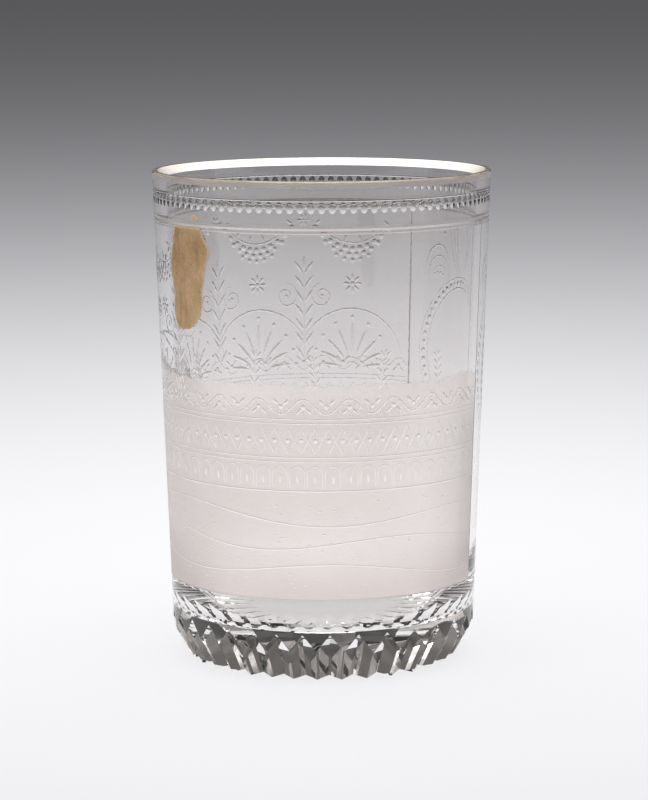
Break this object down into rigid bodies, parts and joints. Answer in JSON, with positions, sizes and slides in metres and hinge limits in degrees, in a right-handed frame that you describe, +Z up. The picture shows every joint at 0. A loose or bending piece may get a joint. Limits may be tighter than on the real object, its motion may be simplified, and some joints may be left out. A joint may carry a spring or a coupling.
{
  "type": "glass beaker",
  "caption": "Tapered cut-glass beaker with a toothed foot, a ring of ball cuts under the rim, bordered panels and the remains of a paper label.",
  "frame": {"origin": "centre of the underside, on the surface that the beaker stands on", "axes": "+Z up along the beaker's axis, -Y towards the front panel, +X to the right of someone who looks at the front"},
  "size_m": [0.078, 0.078, 0.113],
  "materials": {
    "clear_glass": "polished clear glass, slightly warm, with matte wheel engraving over the front panel",
    "aged_paper": "matte brown aged paper with torn edges",
    "pale_paper": "matte pale aged paper"
  },
  "bodies": {
    "root": {"beaker_glass": "clear_glass", "paper_label": "aged_paper", "label_scrap": "pale_paper"}
  },
  "joints": []
}
